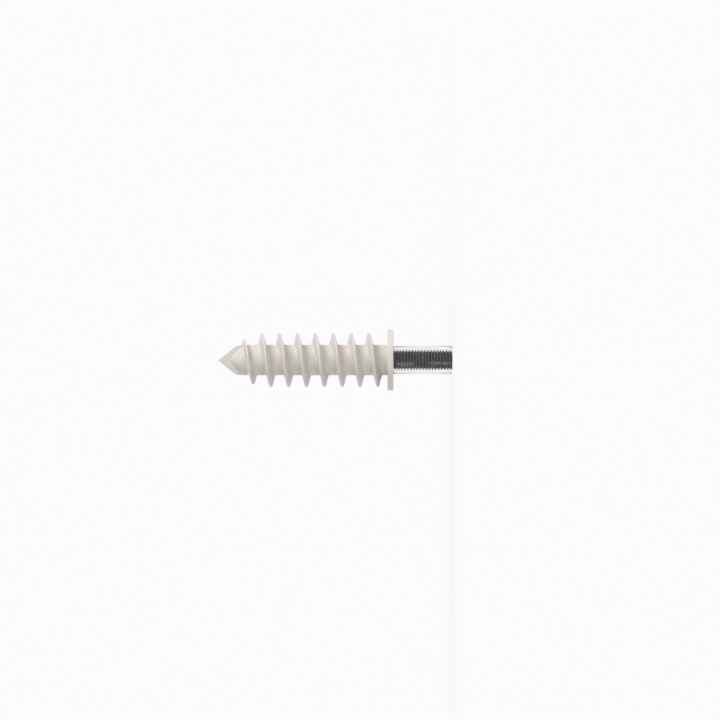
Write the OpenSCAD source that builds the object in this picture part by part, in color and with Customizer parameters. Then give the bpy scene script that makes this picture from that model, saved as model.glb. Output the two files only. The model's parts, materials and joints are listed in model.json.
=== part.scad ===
/* [Body] */
// Length from the point of the tip to the outer face of the flange
body_len = 87.6; // [75:0.2:140]
// Diameter of the round core that carries the flight
core_d = 15.25; // [14.5:0.25:20]
// Diameter of the round flange behind the core
flange_d = 30.5; // [28:0.5:45]
// Thickness of the flange
flange_t = 2.9; // [2:0.1:5]
// Rounding of the flange's two rims
flange_round = 0.4; // [0.2:0.1:0.8]

/* [Flight] */
// Outer diameter of the helical flight
flight_d = 27; // [22:0.5:34]
// Advance of the flight in one turn
flight_pitch = 8.92; // [7:0.02:12]
// Width of the flight where it meets the core
flight_root_w = 4.2; // [2.5:0.1:6]
// Width of the flight just under its rounded crest
flight_crest_w = 1.1; // [0.6:0.1:2]
// From the flange's inner face to the last crest below the core
flight_gap = 4.8; // [4:0.1:15]
// Part of a turn in which the flight dies out beside the flange
run_out_turns = 0.2; // [0.1:0.05:0.3]
// Turns in which the flight grows to its full height behind the tip
run_in_turns = 1.4; // [0.5:0.1:3]

/* [Tip] */
// Length of the core's convex nose, from the full core to its apex
nose_len = 7.2; // [4:0.2:12]
// Radius of the arc that makes the nose convex
nose_bow = 23; // [15:1:60]
// How far the point of the blade stands ahead of that apex
blade_reach = 5.6; // [3:0.2:10]
// Half angle of the blade's point, in degrees
blade_angle = 39; // [30:1:50]
// Thickness of the flat blade
blade_t = 2.6; // [1.5:0.1:5]
// Width of the bevels along the blade's cutting edges
blade_bevel = 0.4; // [0.2:0.05:0.7]
// Rounding of the blade's shoulders, where they meet the core
blade_shoulder = 5; // [1:0.5:6]

/* [Stud] */
// Outer diameter of the threaded stud
stud_d = 10; // [8:0.5:11]
// Advance of the stud's thread in one turn
stud_pitch = 1.5; // [1.25:0.25:2]
// Length of the stud outside the flange
stud_out = 29.5; // [20:0.5:80]
// Length of the stud inside the body
stud_in = 30; // [15:1:40]
// Turns in which the thread grows to its full depth at both ends of the stud
stud_lead = 0.7; // [0.3:0.1:1]
// Gap between the stud and the bore of the body, on the radius
stud_gap = 0.05; // [0.02:0.01:0.09]

/* [Drive socket] */
// How much wider the hexagonal socket is across its flats than the stud
socket_gap = 0.3; // [0.2:0.05:0.6]
// Depth of the socket behind the flange's outer face
socket_depth = 12; // [6:1:14]
// Space between the end of the stud and the floor of its bore
bore_spare = 0.5; // [0.3:0.1:1]

/* [Sleeve] */
// Wall of the sleeve
sleeve_wall = 1.85; // [1:0.05:2.5]
// Gap between the sleeve and the stud, on the radius
sleeve_gap = 0.2; // [0.1:0.05:0.4]

/* [Hidden] */
$fn = 96;
TURN = 360;
CUT = 1;

core_r = core_d / 2;
flange_r = flange_d / 2;
flight_r = flight_d / 2;
stud_r = stud_d / 2;
sleeve_inner_r = stud_r + sleeve_gap;
sleeve_outer_r = sleeve_inner_r + sleeve_wall;

// Places along the axis, which runs along X with the flange's outer face at 0
tip_x = -body_len;
nose_x = tip_x + blade_reach;
core_start_x = nose_x + nose_len;
last_crest_x = -flange_t - flight_gap;

// Centre of the nose's arc, as a distance behind the apex and a radius
nose_slope = atan2(core_r, nose_len);
nose_half_chord = norm([nose_len, core_r]) / 2;
nose_drop = sqrt(pow(nose_bow, 2) - pow(nose_half_chord, 2));
nose_centre_x = nose_len / 2 + nose_drop * sin(nose_slope);
nose_centre_r = core_r / 2 - nose_drop * cos(nose_slope);

// Radius of the nose or the core at a place along the axis
function core_at(x) =
    let (behind = max(0, x - nose_x))
    behind >= nose_len ? core_r
    : sqrt(pow(nose_bow, 2) - pow(behind - nose_centre_x, 2)) + nose_centre_r;

// The flight is swept in steps of equal angle. Its angle is 0 at the last crest below
// the core, and falls towards the tip, where the flight starts half way along the nose.
STEPS = 36;
STEP = TURN / STEPS;
flight_turns = (last_crest_x - nose_x - nose_len / 2) / flight_pitch;
start_angle = -STEP * round(flight_turns * STEPS);
end_angle = STEP * round(run_out_turns * STEPS);
function flight_x(a) = last_crest_x + flight_pitch * a / TURN;

// Share of its full height that the flight has: it grows fast behind its blunt start
GROWTH_POWER = 0.38;
BLUNT_SHARE = 0.1;
function grown(a) =
    max(BLUNT_SHARE,
        min(pow(min(1, (a - start_angle) / TURN / run_in_turns), GROWTH_POWER),
            1 - pow(max(0, a / end_angle), 2)));

// Section of the flight: pairs of axial offset and radius, sunk into the core at both ends
SINK = 0.5;
WAIST_AT = 0.4;
WAIST_W = 0.4;
SHOULDER_AT = 0.92;
THIN_SHARE = 0.3;
function flight_section(a) =
    let (x = flight_x(a),
         share = grown(a),
         root = core_at(x),
         rise = (flight_r - root) * share,
         width = THIN_SHARE + (1 - THIN_SHARE) * share,
         half_root = flight_root_w / 2 * width,
         half_crest = flight_crest_w / 2 * width,
         half_waist = half_crest + (half_root - half_crest) * WAIST_W,
         half_sunk = half_root + SINK * (half_root - half_waist) / (rise * WAIST_AT))
    [[-half_sunk, core_at(x - half_sunk) - SINK],
     [-half_waist, root + rise * WAIST_AT],
     [-half_crest, root + rise * SHOULDER_AT],
     [0, root + rise],
     [half_crest, root + rise * SHOULDER_AT],
     [half_waist, root + rise * WAIST_AT],
     [half_sunk, core_at(x + half_sunk) - SINK]];

// Puts a section at a place along the axis. A rising angle turns it from below the axis
// towards the back, which makes a right-handed helix.
function placed(section, x, a) =
    [for (p = section) [x + p[0], p[1] * sin(a), -p[1] * cos(a)]];

// A closed solid through a row of sections
module swept(rings) {
    sides = len(rings[0]);
    last = len(rings) - 1;
    function at(ring, side) = ring * sides + side % sides;
    polyhedron(
        points = [for (ring = rings) each ring],
        faces = [
            [for (s = [sides - 1 : -1 : 0]) s],
            [for (s = [0 : sides - 1]) at(last, s)],
            for (r = [0 : last - 1]) for (s = [0 : sides - 1]) each [
                [at(r, s), at(r + 1, s + 1), at(r + 1, s)],
                [at(r, s), at(r, s + 1), at(r + 1, s + 1)]
            ]
        ]
    );
}

module flight() {
    swept([
        for (a = [start_angle : STEP : end_angle])
            placed(flight_section(a), flight_x(a), a)
    ]);
}

// A round bar along the axis
module bar(from_x, to_x, r) {
    translate([from_x, 0, 0])
        rotate([0, 90, 0])
            cylinder(h = to_x - from_x, r = r);
}

// Turns an outline of radii and places about the axis
module turned() {
    rotate([0, 90, 0])
        rotate_extrude()
            children();
}

module nose() {
    turned()
        intersection() {
            translate([nose_centre_r, nose_x + nose_centre_x])
                circle(nose_bow);
            translate([0, nose_x])
                square([core_r, nose_len]);
        }
}

module flange() {
    turned() {
        translate([0, -flange_t])
            square([flange_r - flange_round, flange_t]);
        translate([0, flange_round - flange_t])
            square([flange_r, flange_t - 2 * flange_round]);
        for (x = [flange_round - flange_t, -flange_round])
            translate([flange_r - flange_round, x])
                circle(flange_round);
    }
}

// The blade's back stays a little inside the core and ends in it. Its cutting edges run
// straight from the point until their shoulders round over.
BLADE_INSET = 0.05;
BLADE_ROOT = 2;
BEVEL_STOP = 0.4;
SHOULDER_STEPS = 8;
blade_half_w = sqrt(pow(core_r, 2) - pow(blade_t / 2, 2)) - BLADE_INSET;
shoulder_run = blade_shoulder * tan(blade_angle / 2);
shoulder_x = tip_x + blade_half_w / tan(blade_angle) + shoulder_run;
cutting_edge = blade_half_w / sin(blade_angle) - shoulder_run;

function shoulder_point(i) =
    let (a = blade_angle * (1 - i / SHOULDER_STEPS))
    [shoulder_x - blade_shoulder * sin(a), blade_half_w - blade_shoulder * (1 - cos(a))];

module blade_outline() {
    back_x = max(core_start_x, shoulder_x) + BLADE_ROOT;
    upper = [
        [tip_x, 0],
        for (i = [0 : SHOULDER_STEPS]) shoulder_point(i),
        [back_x, blade_half_w]
    ];
    polygon([each upper, for (i = [len(upper) - 1 : -1 : 1]) [upper[i][0], -upper[i][1]]]);
}

module blade() {
    difference() {
        rotate([90, 0, 0])
            linear_extrude(blade_t, center = true)
                blade_outline();
        for (edge = [0, 1])
            for (face = [0, 1])
                mirror([0, face, 0])
                    mirror([0, 0, edge])
                        translate([tip_x, blade_t / 2 - blade_bevel, 0])
                            rotate([0, -blade_angle, 0])
                                rotate([-45, 0, 0])
                                    translate([-CUT, -blade_t, 0])
                                        cube([CUT + cutting_edge - BEVEL_STOP, 2 * blade_t, blade_t]);
    }
}

module drive_socket() {
    flats = stud_d + socket_gap;
    translate([-socket_depth, 0, 0])
        rotate([0, 90, 0])
            cylinder(h = socket_depth + CUT, r = flats / 2 / cos(30), $fn = 6);
}

module anchor_body() {
    color([0.80, 0.78, 0.74])
        difference() {
            union() {
                blade();
                nose();
                bar(core_start_x, -flange_t, core_r);
                flight();
                flange();
            }
            drive_socket();
            bar(-stud_in - bore_spare, 0, stud_r + stud_gap);
        }
}

// A metric thread: flanks at 60 degrees to each other, a flat crest, and a ridge that is
// sunk into the stud's core. It tapers off at both ends.
THREAD_STEPS = 18;
THREAD_DEPTH = 0.6134;
THREAD_CREST = 0.125;
THREAD_SINK = 0.1;
FLANK_ANGLE = 30;
thread_depth = THREAD_DEPTH * stud_pitch;
stud_root_r = stud_r - thread_depth;
thread_start = TURN * (0.5 - stud_in / stud_pitch);
thread_end = TURN * (stud_out / stud_pitch - 0.5);

function thread_section(a) =
    let (from_end = min(a - thread_start, thread_end - a) / TURN,
         depth = thread_depth * max(BLUNT_SHARE, min(1, from_end / stud_lead)),
         sink = THREAD_SINK * stud_pitch,
         half_crest = THREAD_CREST * stud_pitch / 2,
         half_sunk = half_crest + (depth + sink) * tan(FLANK_ANGLE))
    [[-half_sunk, stud_root_r - sink],
     [-half_crest, stud_root_r + depth],
     [half_crest, stud_root_r + depth],
     [half_sunk, stud_root_r - sink]];

module thread() {
    swept([
        for (a = [thread_start : TURN / THREAD_STEPS : thread_end])
            placed(thread_section(a), stud_pitch * a / TURN, a)
    ]);
}

module threaded_stud() {
    color([0.27, 0.26, 0.26]) {
        bar(-stud_in, stud_out, stud_root_r);
        thread();
    }
}

module plaster_sleeve() {
    color([0.93, 0.94, 0.95, 0.5])
        difference() {
            bar(0, stud_out, sleeve_outer_r);
            bar(-CUT, stud_out + CUT, sleeve_inner_r);
        }
}

// The anchor stands on a table with its tip up, on the level ends of its stud and sleeve.
// Its origin is on the table, on its own axis.
module stood() {
    translate([0, 0, stud_out])
        rotate([0, 90, 0])
            children();
}

stood() anchor_body();
stood() threaded_stud();
stood() plaster_sleeve();
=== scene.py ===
"""The looks of a screw-in insulation anchor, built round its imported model."""

import json
import math

import bpy
import numpy as np
from mathutils import Matrix, Vector


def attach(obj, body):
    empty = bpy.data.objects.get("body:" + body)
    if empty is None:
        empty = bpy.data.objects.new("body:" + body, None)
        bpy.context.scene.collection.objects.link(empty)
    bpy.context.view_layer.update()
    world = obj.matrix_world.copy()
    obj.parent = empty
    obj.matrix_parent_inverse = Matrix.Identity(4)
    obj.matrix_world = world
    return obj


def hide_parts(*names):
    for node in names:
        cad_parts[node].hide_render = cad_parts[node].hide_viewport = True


bl_info = {
    "name": "Insulation anchor",
    "version": (1, 0, 0),
    "blender": (4, 5, 0),
    "location": "3D View > Sidebar > Anchor",
    "description": "Models and finishes an insulation anchor with a stud and a clear sleeve",
    "category": "Add Mesh",
}

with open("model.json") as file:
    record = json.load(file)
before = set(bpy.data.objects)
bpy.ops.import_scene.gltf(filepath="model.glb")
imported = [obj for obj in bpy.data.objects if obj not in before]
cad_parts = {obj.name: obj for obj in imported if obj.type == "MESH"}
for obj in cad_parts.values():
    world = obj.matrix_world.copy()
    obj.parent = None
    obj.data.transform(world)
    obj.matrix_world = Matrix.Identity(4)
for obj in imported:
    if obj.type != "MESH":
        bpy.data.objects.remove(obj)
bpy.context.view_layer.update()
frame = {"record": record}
MOUNTS = {mount["name"]: mount for mount in frame["record"]["mounts"]}
MM = 0.001
MERGE = 0.001 * MM
ROUND_STEPS = 144
SMOOTH_ANGLE = math.radians(32)

# The anchor's own frame: its axis runs along X towards the stud, and the flange's outer face
# is at 0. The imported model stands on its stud.
STUD_OUT = MOUNTS["stud_thread"]["dims"]["length_mm"] * MM
TO_STUD = Vector(MOUNTS["stud_thread"]["axis"]).normalized()
FLANGE_CENTRE = Vector(MOUNTS["stud_thread"]["pos_m"]) - TO_STUD * STUD_OUT
BODY_LEN = (FLANGE_CENTRE - Vector(MOUNTS["flight_in_board"]["pos_m"])).length
UPRIGHT = Vector((1, 0, 0)).rotation_difference(TO_STUD).to_matrix().to_4x4()


def length(name, default, description):
    """A size of the object that a user may change, in metres."""
    return bpy.props.FloatProperty(
        name=name, description=description, default=default, unit="LENGTH", subtype="DISTANCE",
        precision=5)


def angle(name, default, description):
    """An angle that a user may change, given in degrees."""
    return bpy.props.FloatProperty(
        name=name, description=description, default=math.radians(default), unit="ROTATION",
        subtype="ANGLE")


def number(name, default, description):
    """A plain number that a user may change."""
    return bpy.props.FloatProperty(name=name, description=description, default=default, min=0)


def colour(name, default, description):
    """A colour that a user may change, in linear light."""
    return bpy.props.FloatVectorProperty(
        name=name, description=description, default=default, subtype="COLOR", size=3, min=0, max=1)


class BodySizes(bpy.types.PropertyGroup):
    core_r: length("Core radius", 7.625 * MM, "Radius of the round core")
    flange_r: length("Flange radius", 15.25 * MM, "Radius of the flange")
    flange_t: length("Flange thickness", 2.9 * MM, "Thickness of the flange")
    flange_round: length("Rim rounding", 0.4 * MM, "Rounding of the flange's two rims")
    flange_fillet: length("Flange fillet", 0.5 * MM, "Fillet between the core and the flange")
    nose_len: length("Nose length", 7.2 * MM, "Length of the core's convex nose")
    nose_bow: length("Nose bow", 23 * MM, "Radius of the arc that makes the nose convex")
    blade_reach: length("Blade reach", 5.6 * MM, "From the blade's point to the nose's apex")
    blade_t: length("Blade thickness", 2.6 * MM, "Thickness of the flat blade")
    blade_bevel: length("Blade bevel", 0.4 * MM, "Width of the bevels round the blade's outline")
    blade_shoulder: length("Blade shoulder", 5 * MM, "Rounding of the blade's shoulders")
    blade_angle: angle("Blade angle", 39, "Half angle of the blade's point")
    socket_flats: length("Socket", 10.3 * MM, "Width of the drive socket across its flats")
    socket_depth: length("Socket depth", 12 * MM, "Depth of the drive socket")
    bore_r: length("Bore radius", 5.05 * MM, "Radius of the bore that holds the stud")
    bore_depth: length("Bore depth", 30.5 * MM, "Depth of the bore that holds the stud")


class FlightSizes(bpy.types.PropertyGroup):
    radius: length("Flight radius", 13.5 * MM, "Outer radius of the helical flight")
    pitch: length("Flight pitch", 8.92 * MM, "Advance of the flight in one turn")
    root_w: length("Root width", 4.2 * MM, "Width of the flight where it meets the core")
    crest_w: length("Crest width", 1.1 * MM, "Width of the flight under its rounded crest")
    fillet: length("Root fillet", 0.5 * MM, "Fillet between the flight and the core")
    gap: length("Gap", 4.8 * MM, "From the flange to the last crest below the core")
    run_in: number("Run-in", 1.4, "Turns in which the flight grows to its full height")
    run_out: number("Run-out", 0.2, "Part of a turn in which the flight dies out")


class StudSizes(bpy.types.PropertyGroup):
    radius: length("Thread radius", 5 * MM, "Outer radius of the thread")
    pitch: length("Thread pitch", 1.5 * MM, "Advance of the thread in one turn")
    inside: length("Length inside", 30 * MM, "Length of the stud inside the body")
    chamfer: length("Chamfer", 0.7 * MM, "Chamfer at both ends of the stud")


class SleeveSizes(bpy.types.PropertyGroup):
    inner_r: length("Inner radius", 5.2 * MM, "Inner radius of the clear sleeve")
    outer_r: length("Outer radius", 7.05 * MM, "Outer radius of the clear sleeve")
    rounding: length("End rounding", 0.2 * MM, "Rounding of the sleeve's ends")
    seat_gap: length("Seat gap", 0.02 * MM, "Gap between the sleeve's end and the flange")


class Finishes(bpy.types.PropertyGroup):
    nylon: colour("Nylon", (0.63, 0.595, 0.54), "Light warm grey of the moulded body")
    clouds: length("Clouds", 9 * MM, "Size of the faint clouds in the nylon")
    flecks: length("Flecks", 0.35 * MM, "Width of the glass fibre flecks in the nylon")
    grain: length("Grain", 0.12 * MM, "Size of the matt grain on the nylon")
    steel: colour("Stud steel", (0.014, 0.012, 0.012), "Phosphated steel of the stud")
    stains: length("Stains", 2.5 * MM, "Size of the lighter and darker places on the steel")
    crystals: length("Crystals", 0.1 * MM, "Size of the phosphate's crystals")
    plastic: colour("Sleeve", (0.85, 0.86, 0.87), "Tint of the clear sleeve")
    haze: length("Haze", 1.5 * MM, "Width of the streaks of haze on the sleeve")
    floor: colour("Floor", (0.94, 0.94, 0.94), "Floor by the anchor")


class StageSizes(bpy.types.PropertyGroup):
    frame_w: length("Frame width", 360 * MM, "Width that the camera takes in at the anchor")
    distance: length("Camera distance", 4.0, "From the camera to the anchor's axis")
    elevation: angle("Camera elevation", 0, "Height of the camera above the horizon")
    shift_x: length("Aim along", 12.4 * MM, "How far right of the anchor's middle the camera aims")


GROUPS = {
    "anchor_body": BodySizes,
    "anchor_flight": FlightSizes,
    "anchor_stud": StudSizes,
    "anchor_sleeve": SleeveSizes,
    "anchor_finishes": Finishes,
    "anchor_stage": StageSizes,
}


# Modelling by hand

def pick(piece=None):
    """Leaves edit mode, deselects every object, then selects this one."""
    if bpy.context.object and bpy.context.object.mode != "OBJECT":
        bpy.ops.object.mode_set(mode="OBJECT")
    bpy.ops.object.select_all(action="DESELECT")
    if piece:
        piece.select_set(True)
        bpy.context.view_layer.objects.active = piece


def edit(piece, points="SELECT"):
    """Opens one piece in edit mode, with all or none of its points selected."""
    pick(piece)
    bpy.ops.object.mode_set(mode="EDIT")
    bpy.ops.mesh.select_mode(type="VERT")
    bpy.ops.mesh.select_all(action=points)


def edit_edges(piece, test):
    """Opens a piece in edit mode with only the edges selected whose two ends pass a test."""
    edit(piece, "DESELECT")
    bpy.ops.mesh.select_mode(type="EDGE")
    bpy.ops.object.mode_set(mode="OBJECT")
    points = piece.data.vertices
    for edge in piece.data.edges:
        edge.select = test(*(points[i].co for i in edge.vertices))
    bpy.ops.object.mode_set(mode="EDIT")


def drawn(name, points):
    """A line of edges drawn point by point, each point a place along the axis and a height."""
    pick()
    bpy.ops.mesh.primitive_plane_add(size=MM, location=(0, 0, 0))
    piece = bpy.context.object
    piece.name = name
    edit(piece)
    bpy.ops.mesh.merge(type="CENTER")
    here = Vector((0, 0, 0))
    for i, (along, height) in enumerate(points):
        there = Vector((along, 0, height))
        if i:
            bpy.ops.mesh.extrude_region_move(TRANSFORM_OT_translate={"value": there - here})
        else:
            bpy.ops.transform.translate(value=there)
        here = there
    pick(piece)
    return piece


def apply(piece, modifier):
    """Makes a modifier's result the piece's own mesh."""
    pick(piece)
    bpy.ops.object.modifier_apply(modifier=modifier.name)


def tidy(piece):
    """Joins points that coincide, drops faces without an area and turns the rest outwards."""
    edit(piece)
    bpy.ops.mesh.remove_doubles(threshold=MERGE)
    bpy.ops.mesh.dissolve_degenerate(threshold=MERGE)
    bpy.ops.mesh.normals_make_consistent(inside=False)
    pick(piece)


def split_wide_faces(piece):
    """Splits the faces with more than four sides into well-shaped triangles."""
    edit(piece, "DESELECT")
    bpy.ops.mesh.select_mode(type="FACE")
    bpy.ops.mesh.select_face_by_sides(number=4, type="GREATER", extend=False)
    bpy.ops.mesh.quads_convert_to_tris(quad_method="BEAUTY", ngon_method="BEAUTY")
    pick(piece)


def screwed(piece, steps, pitch=0.0, turns=1):
    """Turns a drawn line about the axis, and along it where it has a pitch."""
    screw = piece.modifiers.new("Screw", "SCREW")
    screw.axis = "X"
    screw.angle = math.tau
    screw.screw_offset = pitch
    screw.iterations = turns
    screw.steps = screw.render_steps = steps
    apply(piece, screw)
    tidy(piece)


def cut_square(piece, along, keep_ahead):
    """Cuts a piece square at a place along the axis, closes the cut and keeps one end."""
    edit(piece)
    bpy.ops.mesh.bisect(
        plane_co=(along, 0, 0), plane_no=(1, 0, 0), use_fill=True, threshold=MERGE,
        clear_inner=keep_ahead, clear_outer=not keep_ahead)
    pick(piece)


def combine(piece, other, operation):
    """Joins another solid to a piece, or cuts or keeps what it covers, and removes it."""
    boolean = piece.modifiers.new(operation.title(), "BOOLEAN")
    boolean.operation = operation
    boolean.solver = "EXACT"
    boolean.object = other
    apply(piece, boolean)
    bpy.data.objects.remove(other, do_unlink=True)


def places_of(piece):
    """The places of a piece's points: along the axis, across it and up."""
    places = np.empty(len(piece.data.vertices) * 3)
    piece.data.vertices.foreach_get("co", places)
    return places.reshape(-1, 3).T


def move_points(piece, along, across, up):
    """Moves a piece's points to new places."""
    piece.data.vertices.foreach_set("co", np.stack([along, across, up], 1).ravel())
    piece.data.update()


def arc(centre, radius, start, end, steps):
    """Points on an arc round a centre, from one angle to another, in degrees."""
    angles = [math.radians(start + (end - start) * i / steps) for i in range(steps + 1)]
    return [(centre[0] + radius * math.cos(a), centre[1] + radius * math.sin(a)) for a in angles]


def finish_piece(piece, body, node, material):
    """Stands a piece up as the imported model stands, and gives it its body and its finish."""
    split_wide_faces(piece)
    piece.matrix_world = Matrix.Translation(FLANGE_CENTRE) @ UPRIGHT
    bpy.ops.object.transform_apply(location=True, rotation=True, scale=True)
    bpy.ops.object.shade_smooth_by_angle(angle=SMOOTH_ANGLE)
    piece.data.materials.clear()
    piece.data.materials.append(material)
    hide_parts(node)
    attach(piece, body)


# The body

# The nose's skin is cut square inside the blade, and the core's inside the flange, whose stub
# lies just under the core's skin. The cutters reach out of the body.
NOSE_CUT = 0.6 * MM
CORE_SUNK = 1 * MM
STUB_SUNK = 0.02 * MM
CUTTER_OUT = 1 * MM

# How the flight grows: it starts on the nearest of so many steps in a turn, and it is thinner
# where it is low. The turns swept beyond its last crest are cut off inside the flange.
GROWTH_POWER = 0.6
START_STEPS = 36
THIN_SHARE = 0.3
WIDEN_TURNS = 0.25
TURNS_BEYOND = 1.5

# The flight's section, and how finely it is turned
SHOULDER_AT = 0.92
FLANK_POWER = 1.6
FLANK_STEPS = 7
FILLET_STEPS = 5
CREST_STEPS = 4
FLIGHT_STEPS = 96

# The blade ends inside the core, and is a little narrower than it
BLADE_ROOT = 2 * MM
BLADE_INSET = 0.05 * MM
SHOULDER_STEPS = 12

# A quarter turn brings two corners of the socket above and below the axis
SOCKET_SIDES = 6
SOCKET_TURN = math.radians(90)


def core_radius(body, along):
    """Radius of the nose or the core at places along the axis."""
    slope = math.atan2(body.core_r, body.nose_len)
    half_chord = math.hypot(body.core_r, body.nose_len) / 2
    drop = math.sqrt(body.nose_bow**2 - half_chord**2)
    centre = body.nose_len / 2 + drop * math.sin(slope)
    centre_r = body.core_r / 2 - drop * math.cos(slope)
    behind = np.clip(along + BODY_LEN - body.blade_reach, NOSE_CUT / 2, body.nose_len)
    return np.sqrt(body.nose_bow**2 - (behind - centre)**2) + centre_r


def flight_outline(flight, core_r):
    """One pitch of core and flight, from the middle of one gap to the middle of the next."""
    rise = flight.radius - core_r
    half_root, half_crest = flight.root_w / 2, flight.crest_w / 2
    shoulder = rise * SHOULDER_AT
    flank = [
        (half_crest + (half_root - half_crest) * (1 - share)**FLANK_POWER,
         core_r + shoulder * share)
        for share in (i / FLANK_STEPS for i in range(1, FLANK_STEPS + 1))
    ]
    lean = math.degrees(math.atan2(flank[0][1] - core_r, half_root - flank[0][0]))
    run = flight.fillet * math.tan(math.radians(lean / 2))
    fillet = arc((half_root + run, core_r + flight.fillet), flight.fillet, -90, -90 - lean,
                 FILLET_STEPS)
    crest_angles = [math.pi / 2 * i / CREST_STEPS for i in range(1, CREST_STEPS + 1)]
    crest = [
        (half_crest * math.cos(a), core_r + shoulder + (rise - shoulder) * math.sin(a))
        for a in crest_angles
    ]
    half = [(flight.pitch / 2, core_r), *fillet, *flank, *crest]
    return [(-along, height) for along, height in half] + half[-2::-1]


def grow_flight(piece, body, flight):
    """Lets an even flight grow behind the tip and die out by the flange, on the nose's form."""
    along, across, up = places_of(piece)
    radius = np.hypot(across, up)
    last_crest = -body.flange_t - flight.gap
    half_gap = flight.pitch / 2
    turned = np.arctan2(across, -up) / math.tau
    offset = (along - last_crest - flight.pitch * turned + half_gap) % flight.pitch - half_gap
    crest_along = along - offset
    crest_turn = (crest_along - last_crest) / flight.pitch

    nose_middle = body.blade_reach + body.nose_len / 2 - BODY_LEN
    start_turn = round((nose_middle - last_crest) / flight.pitch * START_STEPS) / START_STEPS
    growing = np.clip((crest_turn - start_turn) / flight.run_in, 0, 1)**GROWTH_POWER
    dying = 1 - np.clip(crest_turn / flight.run_out, 0, 1)**2
    share = np.minimum(growing, dying)
    beyond = np.maximum(start_turn - crest_turn, crest_turn - flight.run_out)
    width = THIN_SHARE + (1 - THIN_SHARE) * np.maximum(share, np.clip(beyond / WIDEN_TURNS, 0, 1))

    foot = flight.root_w / 2 + flight.fillet
    from_middle = (half_gap - np.abs(offset)) * (half_gap - foot * width) / (half_gap - foot)
    in_gap = np.sign(offset) * (half_gap - from_middle)
    new_along = crest_along + np.where(np.abs(offset) < foot, offset * width, in_gap)
    even_rise = flight.radius - body.core_r
    rise = (flight.radius - core_radius(body, crest_along)) * share
    height = (radius - body.core_r) / even_rise * rise
    scale = (core_radius(body, new_along) + height) / radius
    move_points(piece, new_along, across * scale, up * scale)


def core_with_flight(body, flight):
    """The nose, the core and the flight as one skin, closed at both ends."""
    turns = math.ceil(BODY_LEN / flight.pitch) + 1
    first = -body.flange_t - flight.gap - flight.pitch * (turns - TURNS_BEYOND)
    outline = [(first + along, height) for along, height in flight_outline(flight, body.core_r)]
    piece = drawn("anchor_moulding", outline)
    screwed(piece, FLIGHT_STEPS, flight.pitch, turns)
    grow_flight(piece, body, flight)
    cut_square(piece, body.blade_reach + NOSE_CUT - BODY_LEN, keep_ahead=True)
    cut_square(piece, CORE_SUNK - body.flange_t, keep_ahead=False)
    tidy(piece)
    return piece


def blade(body):
    """The flat blade with its bevelled outline, whose back ends inside the core."""
    half_w = math.sqrt(body.core_r**2 - (body.blade_t / 2)**2) - BLADE_INSET
    shoulder_run = body.blade_shoulder * math.tan(body.blade_angle / 2)
    shoulder = half_w / math.tan(body.blade_angle) + shoulder_run
    back = max(body.blade_reach + body.nose_len, shoulder) + BLADE_ROOT
    degrees = math.degrees(body.blade_angle)
    upper = [
        *arc((shoulder, half_w - body.blade_shoulder), body.blade_shoulder, 90 + degrees, 90,
             SHOULDER_STEPS),
        (back, half_w),
    ]
    outline = [(0, 0), *upper, *((along, -height) for along, height in reversed(upper))]
    piece = drawn("blade", [(along - BODY_LEN, height) for along, height in outline])
    edit(piece)
    bpy.ops.transform.translate(value=(0, -body.blade_t / 2, 0))
    bpy.ops.mesh.edge_face_add()
    bpy.ops.mesh.extrude_region_move(TRANSFORM_OT_translate={"value": (0, body.blade_t, 0)})
    tidy(piece)

    back_end = back - BODY_LEN - MERGE

    def on_outline(a, b):
        return min(a.x, b.x) < back_end and abs(a.y - b.y) < MERGE

    edit_edges(piece, on_outline)
    bpy.ops.mesh.bevel(offset=body.blade_bevel, segments=1, affect="EDGES")
    pick(piece)
    return piece


def flange(body):
    """The flange with rounded rims, and a stub inside the core that carries its fillet."""
    stub = body.core_r - STUB_SUNK
    fillet, rim = body.flange_fillet, body.flange_round
    outline = [
        (-body.flange_t - fillet, 0),
        *arc((-body.flange_t - fillet, stub + fillet), fillet, -90, 0, FILLET_STEPS),
        *arc((rim - body.flange_t, body.flange_r - rim), rim, 180, 90, FILLET_STEPS),
        *arc((-rim, body.flange_r - rim), rim, 90, 0, FILLET_STEPS),
        (0, 0),
    ]
    piece = drawn("flange", outline)
    screwed(piece, ROUND_STEPS)
    return piece


def cutter(name, radius, depth, sides, turned=0.0):
    """A bar with flat ends that reaches from beyond the flange into the body."""
    pick()
    bpy.ops.mesh.primitive_cylinder_add(
        vertices=sides, radius=radius, depth=depth + CUTTER_OUT,
        location=((CUTTER_OUT - depth) / 2, 0, 0), rotation=(0, math.pi / 2, 0))
    piece = bpy.context.object
    piece.name = name
    bpy.ops.object.transform_apply(location=True, rotation=True, scale=True)
    edit(piece)
    bpy.ops.transform.rotate(value=turned, orient_axis="X", center_override=(0, 0, 0))
    pick(piece)
    return piece


class ANCHOR_OT_body(bpy.types.Operator):
    """Models the moulded body: blade, nose, core, flight, flange, socket and bore"""
    bl_idname = "anchor.body"
    bl_label = "Moulded body"

    def execute(self, context):
        body, flight = context.scene.anchor_body, context.scene.anchor_flight
        piece = core_with_flight(body, flight)
        combine(piece, blade(body), "UNION")
        combine(piece, flange(body), "UNION")
        corner = body.socket_flats / math.sqrt(3)
        socket = cutter("socket", corner, body.socket_depth, SOCKET_SIDES, SOCKET_TURN)
        combine(piece, socket, "DIFFERENCE")
        combine(piece, cutter("bore", body.bore_r, body.bore_depth, ROUND_STEPS), "DIFFERENCE")
        tidy(piece)
        material = nylon_finish(context.scene.anchor_finishes)
        finish_piece(piece, "anchor", "anchor_body", material)
        return {"FINISHED"}


# The stud

THREAD_STEPS = 48
THREAD_ROOT_STEPS = 3
CREST_EASE = 0.03 * MM

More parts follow.
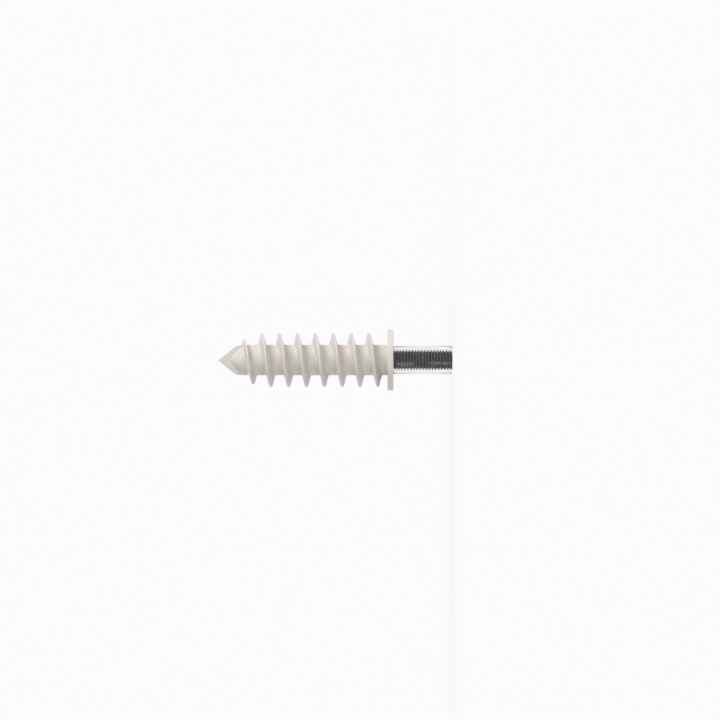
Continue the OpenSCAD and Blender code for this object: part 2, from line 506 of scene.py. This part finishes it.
# The metric thread: the height of its sharp triangle as a share of the pitch, and shares of
# that height for its depth and for the radius of its root. A crest takes an eighth of a pitch.
TRIANGLE = math.sqrt(3) / 2
ROOT_DEPTH = 17 / 24
ROOT_ROUND = 1 / 6
HALF_CREST = 1 / 16


def thread_outline(stud):
    """One pitch of a metric thread, from the middle of one root to the middle of the next."""
    triangle = stud.pitch * TRIANGLE
    root_r = triangle * ROOT_ROUND
    bottom = stud.radius - triangle * ROOT_DEPTH
    root = arc((0, bottom + root_r), root_r, -90, -30, THREAD_ROOT_STEPS)
    crest_edge = stud.pitch * (1 / 2 - HALF_CREST)
    half = [
        *root,
        (crest_edge - CREST_EASE / math.sqrt(3), stud.radius - CREST_EASE),
        (crest_edge + CREST_EASE, stud.radius),
    ]
    return half + [(stud.pitch - along, height) for along, height in reversed(half)]


def mark_crests(piece, stud):
    """Stores how near each point is to the thread's crest, from 0 in the root to 1."""
    _, across, up = places_of(piece)
    depth = stud.pitch * TRIANGLE * ROOT_DEPTH
    crest = np.clip(1 - (stud.radius - np.hypot(across, up)) / depth, 0, 1)
    layer = piece.data.attributes.new("crest", "FLOAT", "POINT")
    layer.data.foreach_set("value", crest.astype(np.float32))


class ANCHOR_OT_stud(bpy.types.Operator):
    """Models the threaded stud with its chamfered ends"""
    bl_idname = "anchor.stud"
    bl_label = "Threaded stud"

    def execute(self, context):
        stud = context.scene.anchor_stud
        start = -stud.inside - stud.pitch
        turns = math.ceil((stud.inside + STUD_OUT) / stud.pitch) + 2
        outline = [(start + along, height) for along, height in thread_outline(stud)]
        piece = drawn("threaded_rod", outline)
        screwed(piece, THREAD_STEPS, stud.pitch, turns)
        spare = stud.pitch / 3
        cut_square(piece, -stud.inside - spare, keep_ahead=True)
        cut_square(piece, STUD_OUT + spare, keep_ahead=False)
        end_r, over = stud.radius - stud.chamfer, stud.radius + spare
        envelope = drawn("chamfered_bar", [
            (-stud.inside, 0),
            (-stud.inside, end_r),
            (over - end_r - stud.inside, over),
            (STUD_OUT - over + end_r, over),
            (STUD_OUT, end_r),
            (STUD_OUT, 0),
        ])
        screwed(envelope, ROUND_STEPS)
        combine(piece, envelope, "INTERSECT")
        tidy(piece)
        mark_crests(piece, stud)
        material = steel_finish(context.scene.anchor_finishes)
        finish_piece(piece, "stud", "threaded_stud", material)
        return {"FINISHED"}


# The sleeve

ROUNDING_STEPS = 4


class ANCHOR_OT_sleeve(bpy.types.Operator):
    """Models the clear sleeve with its rounded ends"""
    bl_idname = "anchor.sleeve"
    bl_label = "Clear sleeve"

    def execute(self, context):
        sleeve = context.scene.anchor_sleeve
        ease = sleeve.rounding
        low, high = sleeve.seat_gap + ease, STUD_OUT - ease
        inner, outer = sleeve.inner_r + ease, sleeve.outer_r - ease
        corners = [
            ((low, outer), 180),
            ((high, outer), 90),
            ((high, inner), 0),
            ((low, inner), -90),
        ]
        outline = [
            point for centre, start in corners
            for point in arc(centre, ease, start, start - 90, ROUNDING_STEPS)
        ]
        piece = drawn("clear_sleeve", [*outline, outline[0]])
        screwed(piece, ROUND_STEPS)
        material = clear_finish(context.scene.anchor_finishes)
        finish_piece(piece, "sleeve", "plaster_sleeve", material)
        return {"FINISHED"}


# Finishes

class Wire:
    """A value on its way between nodes, on which plain arithmetic adds Math nodes."""

    def __init__(self, finish, socket):
        self.finish = finish
        self.socket = socket

    def math(self, operation, first, second):
        return self.finish.node("Math", {0: first, 1: second}, operation=operation)

    def __add__(self, other):
        return self.math("ADD", self, other)

    def __sub__(self, other):
        return self.math("SUBTRACT", self, other)

    def __rsub__(self, other):
        return self.math("SUBTRACT", other, self)

    def __mul__(self, other):
        return self.math("MULTIPLY", self, other)

    def __pow__(self, other):
        return self.math("POWER", self, other)

    __radd__ = __add__
    __rmul__ = __mul__


class Finish:
    """A material or a world under construction."""

    def __init__(self, owner):
        self.owner = owner
        owner.use_nodes = True
        self.tree = owner.node_tree
        self.tree.nodes.clear()

    def node(self, kind, inputs, output=0, **settings):
        """Adds a node, sets it up, feeds its sockets and gives one of its outputs."""
        node = self.tree.nodes.new("ShaderNode" + kind)
        for name, value in settings.items():
            setattr(node, name, value)
        for name, value in inputs.items():
            if isinstance(value, Wire):
                self.tree.links.new(value.socket, node.inputs[name])
            else:
                node.inputs[name].default_value = value
        return Wire(self, node.outputs[output]) if node.outputs else None

    def noise(self, place, size, detail=2.0, run=1):
        """A noise from 0 to 1 in patches one size across, and run sizes long up the anchor."""
        place = self.node("Mapping", {"Vector": place, "Scale": (1, 1, 1 / run)},
                          vector_type="POINT")
        return self.node("TexNoise", {"Vector": place, "Scale": 1 / size, "Detail": detail})

    def blend(self, factor, first, second):
        """A colour between two others."""
        return self.node("Mix", {0: factor, 6: first, 7: second}, output=2, data_type="RGBA")

    def surface(self, shader):
        """Makes this shader the material's surface."""
        self.node("OutputMaterial", {"Surface": shader})
        return self.owner


def shade(base, factor):
    """A colour made darker or lighter, with its alpha."""
    return (*(min(1, part * factor) for part in base), 1)


# Moulded nylon: how far its clouds and flecks change its colour, where a fleck begins and how
# sharply, how long the flecks run, how high the grain stands, and what roughness the clouds
# and the grain add
CLOUD_SHADES = (0.93, 1.07)
FLECK_SHADE = 1.18
FLECK_FROM = 0.55
FLECK_CONTRAST = 3
FLECK_RUN = 4
GRAIN_HEIGHT = 0.02 * MM
NYLON_ROUGHNESS = 0.4
CLOUD_ROUGHNESS = 0.14
GRAIN_ROUGHNESS = 0.08


def nylon_finish(looks):
    """Moulded, glass-filled nylon: faint clouds and fibre flecks under a fine matt grain."""
    finish = Finish(bpy.data.materials.new("moulded_nylon"))
    base = looks.nylon
    place = finish.node("TexCoord", {}, output="Object")
    clouds = finish.noise(place, looks.clouds, detail=3)
    flecks = finish.noise(place, looks.flecks, run=FLECK_RUN)
    grain = finish.noise(place, looks.grain, detail=3)
    mottle = finish.blend(clouds, *(shade(base, factor) for factor in CLOUD_SHADES))
    fleck = (flecks - FLECK_FROM) * FLECK_CONTRAST
    bump = finish.node(
        "Bump", {"Height": grain + flecks, "Strength": 0.35, "Distance": GRAIN_HEIGHT})
    return finish.surface(finish.node("BsdfPrincipled", {
        "Base Color": finish.blend(fleck, mottle, shade(base, FLECK_SHADE)),
        "Roughness": NYLON_ROUGHNESS + CLOUD_ROUGHNESS * clouds + GRAIN_ROUGHNESS * grain,
        "Normal": bump,
        "IOR": 1.53,
        "Specular IOR Level": 0.45,
    }))


# Phosphated steel: how far its stains and a painted highlight along the crests change its colour,
# how narrow the painted highlight on a crest is and how strong it is at the least, how high the
# crystals stand, and what roughness the crystals add and the painted highlight takes away
STAIN_SHADES = (0.75, 1.25)
PAINTED_HIGHLIGHT_SHADE = 22
PAINTED_HIGHLIGHT_POWER = 8
PAINTED_HIGHLIGHT_LEAST = 0.25
CRYSTAL_HEIGHT = 0.01 * MM
STEEL_ROUGHNESS = 0.42
CRYSTAL_ROUGHNESS = 0.08
PAINTED_HIGHLIGHT_SMOOTHNESS = 0.12


def steel_finish(looks):
    """Phosphated steel: dark and slightly mottled, with a painted highlight along the crests."""
    finish = Finish(bpy.data.materials.new("phosphated_steel"))
    base = looks.steel
    place = finish.node("TexCoord", {}, output="Object")
    crest = finish.node("Attribute", {}, output="Fac", attribute_name="crest")
    stains = finish.noise(place, looks.stains, detail=3)
    crystals = finish.noise(place, looks.crystals)
    coat = finish.blend(stains, *(shade(base, factor) for factor in STAIN_SHADES))
    # Painted highlight: the base colour is made much brighter along the thread's crests, and the
    # stains noise varies how strong it is
    painted_highlight = crest**PAINTED_HIGHLIGHT_POWER * (PAINTED_HIGHLIGHT_LEAST + (1 - PAINTED_HIGHLIGHT_LEAST) * stains)
    bump = finish.node(
        "Bump", {"Height": crystals, "Strength": 0.3, "Distance": CRYSTAL_HEIGHT})
    return finish.surface(finish.node("BsdfPrincipled", {
        "Base Color": finish.blend(painted_highlight, coat, shade(base, PAINTED_HIGHLIGHT_SHADE)),
        "Metallic": 0.8,
        "Roughness": STEEL_ROUGHNESS - PAINTED_HIGHLIGHT_SMOOTHNESS * painted_highlight + CRYSTAL_ROUGHNESS * crystals,
        "Normal": bump,
    }))


# Clear plastic: how long its streaks of haze run, and what roughness they add
HAZE_RUN = 10
CLEAR_ROUGHNESS = 0.02
HAZE_ROUGHNESS = 0.05


def clear_finish(looks):
    """Clear extruded plastic, with the faintest haze along its length."""
    finish = Finish(bpy.data.materials.new("clear_plastic"))
    place = finish.node("TexCoord", {}, output="Object")
    haze = finish.noise(place, looks.haze, run=HAZE_RUN)
    return finish.surface(finish.node("BsdfPrincipled", {
        "Base Color": shade(looks.plastic, 1),
        "Roughness": CLEAR_ROUGHNESS + HAZE_ROUGHNESS * haze,
        "Transmission Weight": 1.0,
        "IOR": 1.4,
    }))


# The stage

FLOOR_SIZE = 120.0
WHITE = (0.97, 0.97, 0.97, 1)
WORLD_LIGHT = (0.33, 0.33, 0.33, 1)

# How white the floor is by the anchor, and between which distances it turns all white
NEAR_WHITENESS = 0.7
WHITENS_FROM = 50 * MM
WHITENS_TO = 400 * MM

# Each lamp's name, place, size and power
LAMPS = (
    ("key", (1.3, -0.6, 1.0), 0.8, 23),
    ("fill", (-1.0, -1.5, 0.6), 1.0, 8),
    ("back", (-0.5, 1.2, 0.9), 1.0, 8),
)


def seen(finish):
    """1 for what the camera sees straight, mirrored or through something clear."""
    straight, mirrored, through = (
        finish.node("LightPath", {}, output=name)
        for name in ("Is Camera Ray", "Is Glossy Ray", "Is Transmission Ray"))
    return finish.node(
        "Math", {0: straight + mirrored, 1: through}, operation="ADD", use_clamp=True)


def floor_finish(looks):
    """A pale floor with soft shadows by the anchor, which fades to white further out."""
    finish = Finish(bpy.data.materials.new("pale_floor"))
    matt = finish.node("BsdfDiffuse", {"Color": shade(looks.floor, 1)})
    white = finish.node("Emission", {"Color": WHITE})
    place = finish.node("TexCoord", {}, output="Object")
    away = finish.node("VectorMath", {0: place}, output="Value", operation="LENGTH")
    whiteness = finish.node("MapRange", {
        "Value": away,
        "From Min": WHITENS_FROM,
        "From Max": WHITENS_TO,
        "To Min": NEAR_WHITENESS,
        "To Max": 1.0,
    }, interpolation_type="SMOOTHSTEP")
    mixed = finish.node("MixShader", {0: seen(finish) * whiteness, 1: matt, 2: white})
    return finish.surface(mixed)


def set_world():
    """Even light from all round, which is white to look at."""
    world = bpy.data.worlds.new("studio")
    bpy.context.scene.world = world
    finish = Finish(world)
    light = finish.node("Background", {"Color": WORLD_LIGHT})
    white = finish.node("Background", {"Color": WHITE})
    mixed = finish.node("MixShader", {0: seen(finish), 1: light, 2: white})
    finish.node("OutputWorld", {"Surface": mixed})


def add_lamp(name, place, size, power):
    """A square lamp that shines at the foot of the anchor."""
    lamp = bpy.data.lights.new(name, "AREA")
    lamp.size = size
    lamp.energy = power
    holder = bpy.data.objects.new(name, lamp)
    holder.location = place
    holder.rotation_euler = (-Vector(place)).to_track_quat("-Z", "Y").to_euler()
    bpy.context.scene.collection.objects.link(holder)


def add_camera(stage):
    """A long lens beside the anchor, rolled so that it shows the stud at the right."""
    camera = bpy.data.cameras.new("camera")
    camera.lens = camera.sensor_width * stage.distance / stage.frame_w
    camera.clip_end = FLOOR_SIZE * 2
    holder = bpy.data.objects.new("camera", camera)
    bpy.context.scene.collection.objects.link(holder)
    bpy.context.scene.camera = holder
    back = Vector((0, -math.cos(stage.elevation), math.sin(stage.elevation)))
    right = (TO_STUD - back * TO_STUD.dot(back)).normalized()
    turned = Matrix((right, back.cross(right), back)).transposed().to_4x4()
    middle = FLANGE_CENTRE + TO_STUD * (STUD_OUT - BODY_LEN) / 2
    place = middle + right * stage.shift_x + back * stage.distance
    holder.matrix_world = Matrix.Translation(place) @ turned


class ANCHOR_OT_stage(bpy.types.Operator):
    """Adds the floor, the lamps, the surroundings and the camera"""
    bl_idname = "anchor.stage"
    bl_label = "Stage"

    def execute(self, context):
        pick()
        bpy.ops.mesh.primitive_plane_add(size=FLOOR_SIZE)
        floor = context.object
        floor.name = "floor"
        floor.data.materials.append(floor_finish(context.scene.anchor_finishes))
        set_world()
        for lamp in LAMPS:
            add_lamp(*lamp)
        add_camera(context.scene.anchor_stage)
        context.scene.view_settings.view_transform = "Standard"
        return {"FINISHED"}


class ANCHOR_PT_panel(bpy.types.Panel):
    """The anchor's pieces and their sizes"""
    bl_label = "Insulation anchor"
    bl_space_type = "VIEW_3D"
    bl_region_type = "UI"
    bl_category = "Anchor"

    def draw(self, context):
        for operator in OPERATORS:
            self.layout.operator(operator.bl_idname)
        for name, group in GROUPS.items():
            box = self.layout.box()
            for prop in group.__annotations__:
                box.prop(getattr(context.scene, name), prop)


OPERATORS = (ANCHOR_OT_body, ANCHOR_OT_stud, ANCHOR_OT_sleeve, ANCHOR_OT_stage)


def register():
    for cls in (*GROUPS.values(), *OPERATORS, ANCHOR_PT_panel):
        bpy.utils.register_class(cls)
    for name, group in GROUPS.items():
        setattr(bpy.types.Scene, name, bpy.props.PointerProperty(type=group))


def unregister():
    for name in GROUPS:
        delattr(bpy.types.Scene, name)
    for cls in (ANCHOR_PT_panel, *OPERATORS, *GROUPS.values()):
        bpy.utils.unregister_class(cls)


def main():
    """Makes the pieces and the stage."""
    register()
    bpy.ops.anchor.body()
    bpy.ops.anchor.stud()
    bpy.ops.anchor.sleeve()
    bpy.ops.anchor.stage()


if __name__ == "__main__":
    main()
